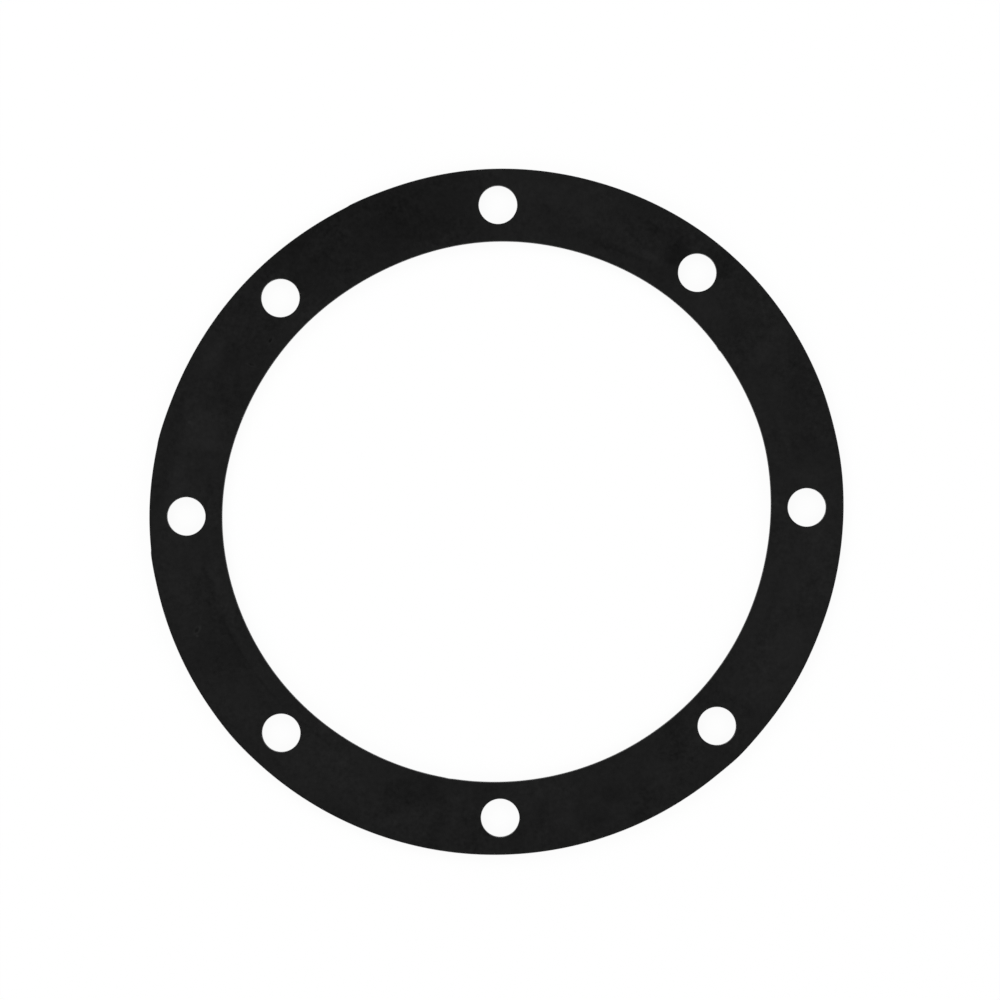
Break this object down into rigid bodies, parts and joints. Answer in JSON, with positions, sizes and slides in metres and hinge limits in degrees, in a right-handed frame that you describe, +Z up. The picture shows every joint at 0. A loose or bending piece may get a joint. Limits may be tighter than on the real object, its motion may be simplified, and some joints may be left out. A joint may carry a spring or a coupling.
{
  "type": "hydraulic tank gasket",
  "caption": "Flat ring gasket of black rubber sheet with a keyed circle of round bolt holes, for the bolted cover of a hydraulic oil tank.",
  "frame": {"origin": "centre of the ring on the face that it lies on", "axes": "+Z up through the sheet's thickness, +X through one of the evenly placed bolt holes, and the keyed hole 50 degrees anticlockwise from +X seen from above"},
  "size_m": [0.19, 0.19, 0.003],
  "materials": {
    "nitrile_rubber": "matte"
  },
  "bodies": {
    "root": {"gasket": "nitrile_rubber"}
  },
  "joints": []
}
